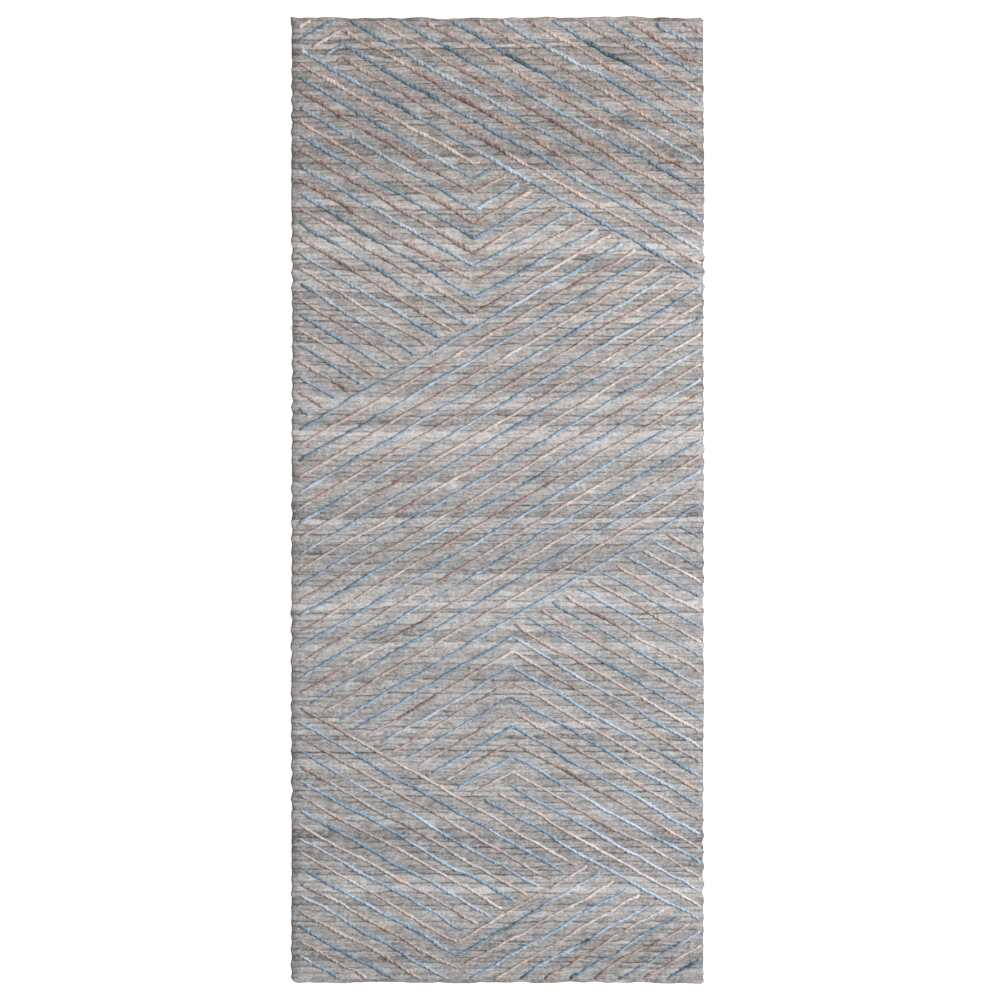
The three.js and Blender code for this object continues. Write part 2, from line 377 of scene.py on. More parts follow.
def wool(name, dark, middle, light, cast, flecks, strands=0.0):
    material = bpy.data.materials.new(name)
    material.use_nodes = True
    tree = material.node_tree
    shader = tree.nodes["Principled BSDF"]
    shader.inputs["Specular IOR Level"].default_value = 0.25
    shader.inputs["Sheen Weight"].default_value = 0.12
    shader.inputs["Sheen Roughness"].default_value = 0.6
    place = add_node(tree, "ShaderNodeTexCoord")
    tone = add_node(tree, "ShaderNodeAttribute", attribute_name="tone")
    shades = add_node(tree, "ShaderNodeGroup", node_tree=carded_shades)
    shades.inputs["Dark"].default_value = dark
    shades.inputs["Middle"].default_value = middle
    shades.inputs["Light"].default_value = light
    shades.inputs["Flecks"].default_value = flecks
    shades.inputs["Strands"].default_value = strands
    tree.links.new(place.outputs["Object"], shades.inputs["Vector"])
    tree.links.new(tone.outputs["Fac"], shades.inputs["Tone"])
    amount = add_node(tree, "ShaderNodeAttribute", attribute_name="cast")
    mix = add_node(tree, "ShaderNodeMix", data_type="RGBA", blend_type="MULTIPLY")
    mix.inputs[7].default_value = cast
    tree.links.new(amount.outputs["Fac"], mix.inputs["Factor"])
    tree.links.new(shades.outputs["Colour"], mix.inputs[6])
    tree.links.new(mix.outputs[2], shader.inputs["Base Color"])
    fibres = add_node(tree, "ShaderNodeGroup", node_tree=spun_fibres)
    tree.links.new(place.outputs["Object"], fibres.inputs["Vector"])
    tree.links.new(fibres.outputs["Roughness"], shader.inputs["Roughness"])
    relief = add_node(tree, "ShaderNodeBump")
    relief.inputs["Strength"].default_value = 1.0
    relief.inputs["Distance"].default_value = 0.5 * mm
    tree.links.new(fibres.outputs["Height"], relief.inputs["Height"])
    tree.links.new(relief.outputs["Normal"], shader.inputs["Normal"])
    return material


undyed_cast = (1.0, 0.955, 0.94, 1)
ground_wool = wool(
    "ground_weave",
    dark=srgb(96, 92, 91),
    middle=srgb(163, 161, 160),
    light=srgb(212, 210, 208),
    cast=undyed_cast,
    flecks=1.3,
    strands=0.55,
)
edge_wool = wool(
    "edge_binding",
    dark=srgb(86, 80, 78),
    middle=srgb(152, 146, 143),
    light=srgb(204, 200, 197),
    cast=undyed_cast,
    flecks=1.1,
)
blue_wool = wool(
    "blue_yarn",
    dark=srgb(52, 82, 104),
    middle=srgb(138, 163, 186),
    light=srgb(198, 215, 234),
    cast=(1.0, 0.90, 0.80, 1),
    flecks=1.1,
)
rose_wool = wool(
    "rose_yarn",
    dark=srgb(118, 94, 89),
    middle=srgb(186, 174, 171),
    light=srgb(226, 220, 218),
    cast=(1.0, 0.875, 0.79, 1),
    flecks=1.1,
)
print("finishes", [finish.name for finish in (ground_wool, edge_wool, blue_wool, rose_wool)])


# %% [markdown]
# ## The ground
#
# The cloth is all weft on both faces. A flat slab with a bump pattern would do from far off, but its
# grooves would vanish in a low light, so it is built of its rows: 168 yarns, each one a long
# cylinder, cut into many short lengths so that it can bend. Between each two rows runs a groove with
# its own wander, and each yarn fills the space from one groove to the next, so that where one row
# swells its neighbour gives way, as packed weft does.

# %% Plan of the weft rows
ground_low, ground_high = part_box("woven_ground")
ground_size = ground_high - ground_low
row_count = 168
band_count = 12
ring_count = 181
row_sides = 12
row_pitch = ground_size.y / row_count
ring_step = ground_size.x / (ring_count - 1)
rows_in_band = row_count // band_count

# A groove wanders by itself, by a slow, a quick and a fine wave: size in mm, spread in rings.
own_waves = [(1.1, 9), (0.8, 2.6), (0.45, 0.8)]
own_wander = sum(
    size * mm * drift(row_count + 1, ring_count, spread) for size, spread in own_waves
)
own_offset = 1.6 * mm * drift(row_count + 1, 1, 1)
# It also sways with its neighbours, by a wave that changes slowly from the foot to the head.
shared_wander = 1.9 * mm * drift(1, ring_count, 34) + 0.8 * mm * drift(1, ring_count, 12)
from_foot = np.linspace(0, 1, row_count + 1)[:, None]
sway = shared_wander * np.cos(math.tau * 1.4 * from_foot)
sway = sway + np.roll(shared_wander, 40, 1) * np.sin(math.tau * 0.9 * from_foot)
held_by_hem = 0.02     # the share of the rug's length over which a hem holds the rows straight
free = np.clip(np.minimum(from_foot, 1 - from_foot) / held_by_hem, 0, 1)
grooves = ground_low.y + ground_size.y * from_foot + free * (own_wander + own_offset + sway)
thinnest = 1.2 * mm
row_middle = (grooves[1:] + grooves[:-1]) / 2
row_half = np.maximum((grooves[1:] - grooves[:-1]) / 2, thinnest)
print("rows", row_count, "pitch", round(row_pitch / mm, 2), "mm")
print("widest row", round(2 * row_half.max() / mm, 1), "mm")

# %% [markdown]
# At each end a yarn turns back round the edge cord. Two or three rows share a turn, so the edge of
# the rug is a soft wave and not a straight line, and the turns are darker than the face by painted
# shade, most on the left edge, away from the lamp. So the last rings of a row get narrower and
# darker, and all the rows of one edge end on the same wavy outline. The corners are rounded, most of
# all the worn one at the left of the foot end.

# %% Ends of the rows, and corners
# The three rings nearest each end have their own width, place and painted shade.
end_scale = np.ones(ring_count)
end_scale[:3] = (0.80, 0.94, 1.0)
end_scale[-3:] = end_scale[2::-1]
ring_place = np.linspace(-1, 1, ring_count) * ground_size.x / 2
ring_place[1:3] = ring_place[0] + np.array([1.0, 3.2]) * mm
ring_place[-3:-1] = ring_place[-1] - np.array([3.2, 1.0]) * mm
# Painted shade on the rows' ends, most on the left edge, away from the lamp.
rim_painted_shade = np.zeros(ring_count)
rim_painted_shade[:3] = (0.40, 0.40, 0.16)
rim_painted_shade[-3:] = (0.08, 0.28, 0.34)
outline_places = np.linspace(ground_low.y, ground_high.y, 800)
shared_turn = 29 * mm  # from one shared turn at the edge to the next
mean_reach = 4.6 * mm  # how far the rows run past the plain ground


def wavy_outline():
    """How far the rows run past the plain ground, at places along one edge of the rug."""
    count = len(outline_places)
    phase = math.tau * (outline_places / shared_turn + 0.4 * drift(1, count, 34)[0])
    turns = 1.0 * mm * np.cos(phase) * (1 + 0.6 * drift(1, count, 14)[0])
    waves = turns + 0.3 * mm * drift(1, count, 1.5)[0] + 0.7 * mm * drift(1, count, 30)[0]
    return mean_reach + np.clip(waves, -3 * mm, 3.6 * mm)


left_outline = wavy_outline()
right_outline = wavy_outline()
print("left edge runs out by", np.round([left_outline.min() / mm, left_outline.max() / mm], 1), "mm")
# Which corner, as the signs of x and y, and its radius.
corner_radii = {(-1, -1): 15 * mm, (1, -1): 6 * mm, (-1, 1): 4 * mm, (1, 1): 10 * mm}


def round_corners(points):
    """Draw the square corner outside each rounded one in to its arc, along lines to its centre."""
    for (side_x, side_y), radius in corner_radii.items():
        from_x = side_x * points[:, 0] - (cad_high.x - radius)
        from_y = side_y * points[:, 1] - (cad_high.y - radius)
        inside = (from_x > 0) & (from_y > 0)
        reach = np.hypot(from_x, from_y)
        pull = np.maximum(from_x, from_y) / np.maximum(reach, 1e-9)
        points[inside, 0] += side_x * (from_x * (pull - 1))[inside]
        points[inside, 1] += side_y * (from_y * (pull - 1))[inside]
    return points


# %% [markdown]
# The dye is uneven too. Each row has a tone of its own that it keeps across the whole width, and
# whole stretches of the rug are darker or paler, as when the weaver starts a new batch of wool.

# %% Tone of each row
# Distance from the head end in metres, and how much paler (or darker, if negative) it is there.
batches = [
    (0.00, 0.03), (0.03, -0.06), (0.15, -0.05), (0.18, 0.00), (0.21, -0.08), (0.28, -0.08),
    (0.31, 0.05), (0.76, 0.05), (0.79, 0.12), (0.84, 0.04), (0.98, 0.02), (1.03, -0.09),
    (1.08, 0.03), (1.25, 0.03), (1.45, 0.00), (1.60, -0.05), (1.64, 0.03), (1.71, -0.09),
    (1.80, -0.07), (1.83, -0.02),
]
from_head = ground_high.y - (ground_low.y + ground_size.y * from_foot[:-1, 0])
batch_tone = np.interp(from_head, *zip(*batches))
row_tone = 0.49 + batch_tone[:, None] + 0.07 * drift(row_count, 1, 1)
row_tone = row_tone + 0.04 * drift(row_count, ring_count, 24)
row_tone = row_tone + 0.04 * drift(row_count, ring_count, 1.3)
# Slubs, where the spinner let the yarn swell, are paler, and the thin places are darker.
slubs = drift(row_count, ring_count, 5)
row_tone = row_tone + 0.12 * np.clip(slubs - 1.4, 0, 1) - 0.08 * np.clip(-1.5 - slubs, 0, 1)


def undyed_warmth(below_head):
    """How much of the warm cast the grey wool has, at a distance from the head end."""
    return np.clip(1.1 - below_head / 0.9, 0, 1)


row_cast = undyed_warmth(from_head)
print("tone of the rows", np.round([row_tone.min(), row_tone.max()], 2))


# %% [markdown]
# One row is modelled: a cylinder is turned to lie across the rug, flattened, and its long edges are
# cut into short ones. An Array modifier repeats it to a band of fourteen, and there are twelve
# bands, because one mesh of all the rows would be too heavy to handle.

# %% One row, repeated to a band
flat_half_width = 0.45 * row_pitch


def ringed_cylinder(name, sides, radius, axis, size, rings):
    """A cylinder that runs along x (axis 0) or y (axis 1), cut across into rings."""
    deselect_all()
    bpy.ops.mesh.primitive_cylinder_add(vertices=sides, radius=radius, depth=1)
    piece = bpy.context.active_object
    piece.name = name
    piece.rotation_euler = (math.pi / 2, 0, 0) if axis == 1 else (0, math.pi / 2, 0)
    settle(piece)
    piece.scale = size
    settle(piece)
    bpy.ops.object.mode_set(mode="EDIT")
    bpy.ops.mesh.select_mode(type="EDGE")
    bpy.ops.mesh.select_all(action="DESELECT")
    sheet = bmesh.from_edit_mesh(piece.data)
    for edge in sheet.edges:
        start, end = (vertex.co[axis] for vertex in edge.verts)
        edge.select = abs(start - end) > size[axis] / 2
    bmesh.update_edit_mesh(piece.data)
    bpy.ops.mesh.subdivide(number_cuts=rings - 2)
    bpy.ops.object.mode_set(mode="OBJECT")
    return piece


def straight_rows(name):
    one_row = (ground_size.x, flat_half_width, 1)
    rows = ringed_cylinder(name, row_sides, 1, 0, one_row, ring_count)
    repeat(rows, rows_in_band, (0, row_pitch, 0))
    return rows


# %% [markdown]
# The grooves matter more to the look than the yarns do. Some are deep and dark for a hand's breadth
# and then close up. So each groove has a depth that comes and goes, and each yarn's shoulder is
# lower where the groove beside it is deep, and darkened there by painted shade.

# %% Lay a band of rows
row_reach = 1.17       # a yarn is this much wider than its share, and presses into the next
thickness = 1 + 0.03 * drift(row_count, ring_count, 1.2) + 0.03 * drift(row_count, 1, 1)
thickness = np.clip(thickness, 0.88, 1.08)
groove_depth = 0.42 + 0.24 * drift(row_count + 1, ring_count, 5)
groove_depth = groove_depth + 0.34 * drift(row_count + 1, 1, 1)
groove_depth = np.clip(groove_depth + 0.2 * drift(row_count + 1, ring_count, 1.2), 0, 1.4)
shoulder_start = 0.5   # of the way from the yarn's middle to its side
shoulder_width = 0.4
shoulder_lift = 0.24   # of half the cloth's thickness, where a groove is closed
# Painted shade on a yarn's shoulder beside a deep groove.
groove_painted_shade = 0.34    # how much darker a shoulder is beside a groove that is 1 deep


def lay_band(number):
    rows = straight_rows(f"weft_rows_{number + 1:02d}")
    points = points_of(rows)
    own = np.rint(points[:, 1] / row_pitch).astype(int)
    ring = np.rint(points[:, 0] / ring_step + (ring_count - 1) / 2)
    ring = np.clip(ring, 0, ring_count - 1).astype(int)
    side = (points[:, 1] - own * row_pitch) / flat_half_width
    row = own + number * rows_in_band
    depth = groove_depth[row + (side > 0), ring]
    shoulder = np.clip(np.abs(side) - shoulder_start, 0, shoulder_width) / shoulder_width
    half_height = ground_size.z / 2
    rise = points[:, 2] + np.sign(points[:, 2]) * shoulder_lift * shoulder * (1 - depth)
    laid = points.copy()
    from_middle = ring_place[ring] / ring_place[-1]
    laid[:, 1] = row_middle[row, ring] + side * row_half[row, ring] * row_reach * end_scale[ring]
    past_left = np.interp(laid[:, 1], outline_places, left_outline)
    past_right = np.interp(laid[:, 1], outline_places, right_outline)
    past = np.where(from_middle > 0, past_right, past_left)
    laid[:, 0] = ring_place[ring] + from_middle * past
    laid[:, 2] = half_height * (1 + rise * thickness[row, ring] * end_scale[ring])
    laid[:, 2] = np.maximum(laid[:, 2], 0)
    laid = round_corners(laid)
    move_points(rows, laid)
    # Painted shade: beside deep grooves, and on the rims of the rows' ends.
    shade = groove_painted_shade * depth * shoulder + rim_painted_shade[ring]
    store(rows, "tone", row_tone[row, ring] - shade)
    store(rows, "cast", row_cast[row])
    dress(rows, ground_wool)
    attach(rows, "root")
    return rows


weft_bands = [lay_band(number) for number in range(band_count)]
print("weft bands", len(weft_bands), "faces", sum(len(band.data.polygons) for band in weft_bands))

# %% [markdown]
# Inside the rows lie the warps. They never show, but they hold the cloth together, so a thin sheet
# stands for them. It is a grid cut to the rug's size and given a wall by a Solidify modifier.

# %% Warp sheet
deselect_all()
bpy.ops.mesh.primitive_grid_add(x_subdivisions=24, y_subdivisions=56, size=1)
warp_sheet = bpy.context.active_object
warp_sheet.name = "warp_sheet"
inset = 1.5 * mm
warp_thickness = 1 * mm
warp_sheet.scale = (ground_size.x - 2 * inset, ground_size.y - 2 * inset, 1)
warp_sheet.location = (0, 0, ground_size.z / 2 + warp_thickness / 2)
settle(warp_sheet)
wall = warp_sheet.modifiers.new("thickness", "SOLIDIFY")
wall.thickness = warp_thickness
apply_modifiers(warp_sheet)
# A dark tone as painted shade: inside the cloth there is only shade, and it shows in any gap between
# rows.
store(warp_sheet, "tone", np.full(len(warp_sheet.data.vertices), 0.15))
store(warp_sheet, "cast", np.full(len(warp_sheet.data.vertices), 0.5))
dress(warp_sheet, ground_wool)
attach(warp_sheet, "root")
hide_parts("woven_ground")
print("warp sheet", [round(side / mm, 1) for side in warp_sheet.dimensions], "mm")


# %% [markdown]
# ## Selvedges and hems
#
# Along each long edge the weft yarns come out of the cloth, turn round an edge cord and go back in,
# so the cord is wrapped by turns and gently scalloped. The rows' own ends reach past it, so it is
# tucked in under them, and its dark tone is painted shade: it shows as a dark, soft rim. Each hem is
# a tighter roll of the same cloth, overcast by finer stitches. On cords and hems alike, painted
# shade makes each turn lighter on its swell and darker in the dip to the next. A curve with a round
# bevel could make them, but here a cylinder is cut into rings, because each ring can then be
# swelled, swayed and shaded by itself.

# %% A wrapped roll along one edge
roll_sides = 10
rings_in_turn = 6
mean_turn = 0.6        # about the mean of a wave that goes from 0 to 1 and back in each turn


def wrapped_roll(name, node, axis, turn, swell, sway_size, height_share, tuck, tone_level):
    """One edge of the rug, in the place of its node, along x (axis 0) or y (axis 1).

    turn is the length of one turn of the yarn, and swell and sway_size say how far the outline
    goes in and out, within a turn and over many. height_share is of the node's height, and tuck
    is how far the roll draws back under the rows.
    """
    low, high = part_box(node)
    size = high - low
    middle = (low + high) / 2
    length = size[axis]
    rings = int(length / turn * rings_in_turn) + 1
    roll = ringed_cylinder(name, roll_sides, 0.5, axis, size, rings)
    points = points_of(roll)
    along = points[:, axis]
    ring = np.clip(np.rint((along / length + 0.5) * (rings - 1)), 0, rings - 1).astype(int)
    phase = (along + 0.35 * turn * drift(1, rings, 14)[0][ring]) / turn
    turns = np.abs(np.sin(math.pi * phase))
    which = np.floor(phase).astype(int)
    own = chance.standard_normal(which.max() - which.min() + 1)[which - which.min()]
    other = 1 - axis
    outward = 1 if middle[other] > 0 else -1
    out = np.clip(outward * points[:, other] / (0.5 * size[other]), -1, 1)
    bulge = swell * (turns - mean_turn) * (1 + 0.4 * own)
    sway_across = sway_size * (drift(1, rings, 6)[0][ring] + 0.7 * drift(1, rings, 22)[0][ring])
    from_end = np.minimum(along + length / 2, length / 2 - along)
    end_taper = np.clip(from_end / (4 * mm), 0.55, 1)
    points[:, other] += outward * (0.5 + 0.5 * out) * (bulge + sway_across)
    points[:, other] -= outward * ((0.5 - 0.5 * out) * 1.5 * mm + tuck)
    points[:, 2] = points[:, 2] * (1 + 0.08 * (turns - mean_turn)) * end_taper * height_share
    points += np.array(middle)
    points[:, 2] -= 0.5 * size.z * (1 - height_share)
    points[:, 2] = np.maximum(points[:, 2], 0.05 * mm)
    if axis == 0:
        # A hem covers the ends of the selvedges too.
        points[:, 0] *= cad_high.x / high.x
    points = round_corners(points)
    move_points(roll, points)
    slow = drift(1, rings, 40)[0][ring]
    # Painted shade: each turn is lighter on its swell and darker in the dip to the next.
    store(roll, "tone", tone_level + 0.3 * (turns - mean_turn) + 0.07 * own + 0.05 * slow)
    store(roll, "cast", undyed_warmth(ground_high.y - points[:, 1]))
    dress(roll, edge_wool)
    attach(roll, "root")
    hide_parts(node)
    print(name, "rings", rings)
    return roll


selvedge = {
    "axis": 1,
    "turn": 15 * mm,
    "height_share": 0.68,
    "tuck": 4 * mm,
    # A dark tone, as painted shade on the cord tucked under the rows' ends.
    "tone_level": 0.25,
}
hem = {
    "axis": 0,
    "turn": 8 * mm,
    "swell": 0.7 * mm,
    "sway_size": 0.8 * mm,
    "height_share": 0.92,
    "tuck": 0,
}
edges = [
    wrapped_roll(
        "left_wrapped_selvedge", "left_selvedge", swell=1.3 * mm, sway_size=0.6 * mm, **selvedge
    ),
    wrapped_roll(
        "right_wrapped_selvedge", "right_selvedge", swell=1.4 * mm, sway_size=0.7 * mm, **selvedge
    ),
    wrapped_roll("head_rolled_hem", "head_hem", tone_level=0.47, **hem),
    wrapped_roll("foot_rolled_hem", "foot_hem", tone_level=0.46, **hem),
]


# %% [markdown]
# ## The raised yarns
#
# Each raised line is a two-ply yarn. Its place comes from the frame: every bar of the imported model
# has a flat strip along its top, and the middle of that strip is the line. So the strips are
# looked up in each node, and each gives a start, an end and, for a chevron, the corner.

# %% Find the lines in the frame
corner_least = 6 * mm  # how far off the straight line a strip has to bulge to have a corner


def mean_near(points, x, reach):
    """The mean of the points whose x is near a given one, which is on the strip's middle."""
    near = [point for point in points if abs(point.x - x) < reach]
    return sum(near, Vector()) / len(near)


def line_through(strip):
    """Start, end and, if some point lies well off the straight line, the corner."""
    start = mean_near(strip, min(point.x for point in strip), 4 * mm)
    end = mean_near(strip, max(point.x for point in strip), 4 * mm)
    along = (end - start).normalized()
    corner = max(strip, key=lambda point: (point - start).cross(along).length)
    if (corner - start).cross(along).length < corner_least:
        return [start, end]
    return [start, mean_near(strip, corner.x, 5 * mm), end]


def centre_lines(node):
    """The lines of one node: its lower part is cut away, and each island left over is a strip."""
    mesh = bmesh.new()
    mesh.from_mesh(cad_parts[node].data)
    bmesh.ops.remove_doubles(mesh, verts=mesh.verts, dist=0.02 * mm)
    top = max(vertex.co.z for vertex in mesh.verts)
    below = [vertex for vertex in mesh.verts if vertex.co.z < top - 0.05 * mm]
    bmesh.ops.delete(mesh, geom=below, context="VERTS")
    lines = []
    seen = set()
    for start in mesh.verts:
        if start in seen:
            continue
        island = []
        queue = [start]
        seen.add(start)
        while queue:
            vertex = queue.pop()
            island.append(vertex.co.copy())
            for edge in vertex.link_edges:
                other = edge.other_vert(vertex)
                if other not in seen:
                    seen.add(other)
                    queue.append(other)
        lines.append(line_through(island))
    mesh.free()
    return lines


yarn_nodes = sorted(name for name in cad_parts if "_yarn_" in name)
yarn_lines = {node: centre_lines(node) for node in yarn_nodes}
all_lines = [line for lines in yarn_lines.values() for line in lines]
chevrons = sum(len(line) == 3 for line in all_lines)
print("raised lines", len(all_lines), "in", len(yarn_nodes), "runs, with a corner", chevrons)

# %% [markdown]
# Two plies turned round each other have a section like a figure eight. A Screw modifier could twist
# it, but extruding it keeps each ring where it can be found again. One half turn is
# modelled: a ring of ten points is pinched at the waist, then extruded and turned in four steps.
# After half a turn the section fits on the first, so an Array modifier repeats it to any length.

# %% Half a turn of two-ply yarn
yarn_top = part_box("blue_yarn_head_divider_1")[1].z
yarn_radius = 3.4 * mm
half_turn = 10 * mm
turn_steps = 4
waist = 0.74           # how much the section narrows between the two plies
round_radius = 0.9 * yarn_radius   # of a yarn whose twist doesn't show


def model_half_turn():
    deselect_all()
    bpy.ops.mesh.primitive_circle_add(vertices=10, radius=yarn_radius, rotation=(0, math.pi / 2, 0))
    yarn = bpy.context.active_object
    yarn.name = "half_turn_of_yarn"
    settle(yarn)
    bpy.ops.object.mode_set(mode="EDIT")
    bpy.ops.mesh.select_all(action="DESELECT")
    # The sides of the ring are drawn in first, all but its top and bottom, and then its waist.
    ring = bmesh.from_edit_mesh(yarn.data)
    for vertex in ring.verts:
        below_top = abs(vertex.co.z) < 0.9 * yarn_radius
        vertex.select = below_top and abs(vertex.co.y) > 0.5 * yarn_radius
    bmesh.update_edit_mesh(yarn.data)
    bpy.ops.transform.resize(value=(1, 0.8, 0.9), center_override=(0, 0, 0))
    bpy.ops.mesh.select_all(action="DESELECT")
    ring = bmesh.from_edit_mesh(yarn.data)
    for vertex in ring.verts:
        vertex.select = abs(vertex.co.z) < 0.1 * yarn_radius
    bmesh.update_edit_mesh(yarn.data)
    bpy.ops.transform.resize(value=(1, waist, 1), center_override=(0, 0, 0))
    bpy.ops.mesh.select_all(action="SELECT")
    for step in range(turn_steps):
        travel = {"value": (half_turn / turn_steps, 0, 0)}
        bpy.ops.mesh.extrude_region_move(TRANSFORM_OT_translate=travel)
        bpy.ops.transform.rotate(
            value=-math.pi / turn_steps, orient_axis="X", center_override=(0, 0, 0)
        )
    bpy.ops.object.mode_set(mode="OBJECT")
    return yarn


half_turn_of_yarn = model_half_turn()
first_ring = points_of(half_turn_of_yarn)[:10]
radii = np.hypot(first_ring[:, 1], first_ring[:, 2])
print("half turn", len(half_turn_of_yarn.data.polygons), "faces, radii", np.round(radii / mm, 2))

# %% [markdown]
# A yarn that was laid by hand doesn't run straight. It wanders by a millimetre or two, it rounds
# the corner of a chevron, and near the head end all the lines on the right sag a little, because
# the cloth was pulled there. At both ends it dives into the cloth. What it is like also changes
# along the rug, so each helper here takes places along y, in metres from the rug's middle with the
# head end positive, and gives a value for each.

# %% The way that one yarn lies
path_step = 5 * mm
dive = 6 * mm          # the length of yarn, at each end, that goes down into the cloth
dive_depth = 2.6 * mm
sag_depth = 7 * mm
pull_start = (0.16, 0.60)   # x and y where the pull on the cloth begins
pull_reach = (0.22, 0.30)   # how much further on it is full


def stoutness(y):
    """How thick the yarn is: much the thickest at the head end, and a little thicker at the foot."""
    return np.interp(y, (-0.9, -0.7, 0.25, 0.5, 0.9), (1.2, 1.1, 1.2, 1.36, 1.5))


def twist_shown(y):
    """How open the twist is, from 0 for a round yarn to 1 for two plies: most at the foot end."""
    return np.interp(y, (-0.9, -0.7, 0.5, 0.9), (0.7, 0.45, 0.45, 0.5))


def sag(points):
    """How far the cloth pulls the lines down near the right head corner."""
    right, head = np.clip((points[:, :2] - pull_start) / pull_reach, 0, 1).T
    return -sag_depth * right ** 1.5 * head


def restlessness(x, y):
    """How much a yarn wanders: most at the two ends, and on the right of the head end."""
    along_rug = np.interp(y, (-0.9, -0.6, 0.0, 0.5, 0.9), (2.1, 1.2, 0.9, 1.1, 1.5))
    return along_rug + 1.2 * np.clip(x / 0.35, 0, 1) * np.clip(y / 0.9, 0, 1) ** 2


def lie(line):
    """The path of one yarn: points along its line, wandered, sagged and sunk at the ends."""
    corners = np.array([list(point) for point in line])
    reach = np.concatenate([[0], np.cumsum(np.linalg.norm(np.diff(corners, axis=0), axis=1))])
    count = max(6, int(reach[-1] / path_step))
    along = np.linspace(0, reach[-1], count)
    points = np.column_stack([np.interp(along, reach, corners[:, axis]) for axis in range(3)])
    if len(line) > 2:
        soft = np.array([0.25, 0.5, 0.25])
        for axis in range(2):
            points[1:-1, axis] = np.convolve(points[:, axis], soft, mode="valid")
    direction = np.gradient(points, axis=0)
    direction /= np.linalg.norm(direction, axis=1)[:, None]
    sideways = np.column_stack([-direction[:, 1], direction[:, 0]])
    near_end = np.minimum(along, along[-1] - along)
    ends = np.clip(near_end / (15 * mm), 0, 1)
    restless = restlessness(points[:, 0], points[:, 1])
    wander = restless * mm * (0.9 * drift(1, count, 5)[0] + 0.45 * drift(1, count, 1.6)[0])
    points[:, :2] += sideways * (wander * ends)[:, None]
    points[:, 1] += sag(points)
    diving = np.clip(1 - near_end / dive, 0, 1)
    lift = 0.12 * mm * drift(1, count, 5)[0] * ends
    middle_height = yarn_top - round_radius * stoutness(points[:, 1])
    sunk = mm * np.interp(points[:, 1], (-0.9, -0.7, -0.3, 0.3), (0.1, 0.6, 0.5, 0))
    points[:, 2] = middle_height + lift - sunk - dive_depth * diving ** 1.5
    return points


# %% [markdown]
# The yarn is dyed in stretches, dark for the length of a finger and then pale. So the tone is a slow
# drift along each yarn with a quicker one on top, and whole parts of the rug are paler. On the right
# of the foot end a few dark spots on the yarn are painted shade, of the gaps where it pulls the
# ground open beside it. The tone could be a noise texture, but as a value stored on each point it
# follows its own yarn and never runs over to the next.

# %% Dye of one yarn
def dye_bias(colour, x, y):
    """How much paler than the middle shade the yarn of one colour is, at a place on the rug."""
    places = (-0.9, -0.75, -0.45, 0.0, 0.45, 0.7, 0.9)
    if colour == "blue":
        bias = np.interp(y, places, (-0.08, 0.22, 0.15, 0.12, 0.12, 0.12, 0.04))
    else:
        bias = np.interp(y, places, (-0.04, 0.16, 0.1, 0.1, 0.06, -0.01, -0.03))
    slant_places = (-0.9, -0.75, 0.3, 0.45, 0.65, 0.85)
    slant = np.interp(y, slant_places, (-0.06, 0.03, 0.03, 0.08, 0.08, -0.1))
    return bias + slant * np.clip(x / 0.35, -1, 1)


def painted_shade_spots(colour, x, y):
    """How strongly painted shade darkens the yarn in dark spots, most on the blue yarn."""
    strength = 0.9 if colour == "blue" else 0.2
    return strength * np.interp(y, (-0.9, -0.78), (1, 0)) * np.interp(x, (0, 0.1), (0, 1))


def yarn_dye(place, length, colour, x, y):
    """Tone and cast at places along one yarn, which lie at x and y on the rug."""
    count = max(4, int(length / (10 * mm)) + 2)
    where = np.clip(place / length, 0, 1) * (count - 1)
    slow, quick, hue = (
        np.interp(where, np.arange(count), drift(1, count, spread)[0]) for spread in (4, 1.2, 3)
    )
    tone = 0.5 + 0.12 * slow + 0.09 * quick + dye_bias(colour, x, y)
    # Painted shade in a few dark spots, on the right of the foot end.
    tone -= painted_shade_spots(colour, x, y) * np.clip(-quick - 0.6, 0, 1)
    cast = np.interp(y, (-0.9, -0.7, -0.2, 0.4, 0.9), (0.5, 0.1, 0.6, 0.75, 0.9)) + 0.25 * hue
    return tone, np.clip(cast, 0, 1)


# %% [markdown]
# To lay a yarn, the half turn is repeated until it is about as long as its line, and each end is
# closed by a face. Its rings are spaced unevenly, so that the twist is tight in some places and
# loose in others, and swelled. Then a Curve modifier bends the yarn along its path. The plies keep
# a little apart in tone, and the crevice between them is darkened by painted shade.

# %% Lay one yarn along its line
# Painted shade in the crevice between the two plies.
crevice_painted_shade = 0.13         # how much darker the yarn is between its two plies
above_floor = 0.5 * mm


def poly_curve(name, points):
    """A curve of straight pieces through the points."""
    data = bpy.data.curves.new(name, "CURVE")
    data.dimensions = "3D"
    spline = data.splines.new("POLY")
    spline.points.add(len(points) - 1)
    for place, point in zip(spline.points, points):
        place.co = (*point, 1)
    curve = bpy.data.objects.new(name, data)
    scene.collection.objects.link(curve)
    return curve


def straight_yarn(name, turns):
    select_only(half_turn_of_yarn)
    bpy.ops.object.duplicate()
    yarn = bpy.context.active_object
    yarn.name = name
    repeat(yarn, turns, (half_turn, 0, 0), merge=0.05 * mm)
    bpy.ops.object.mode_set(mode="EDIT")
    bpy.ops.mesh.select_all(action="SELECT")
    bpy.ops.mesh.fill_holes(sides=12)
    bpy.ops.object.mode_set(mode="OBJECT")
    return yarn


def bend_along(yarn, points):
    """Bend a straight yarn along a path, and throw the path away."""
    route = poly_curve(yarn.name + "_route", points)
    route_data = route.data
    route_data.twist_mode = "Z_UP"
    bend = yarn.modifiers.new("lie", "CURVE")
    bend.object = route
    bend.deform_axis = "POS_X"
    apply_modifiers(yarn)
    bpy.data.objects.remove(route)
    bpy.data.curves.remove(route_data)


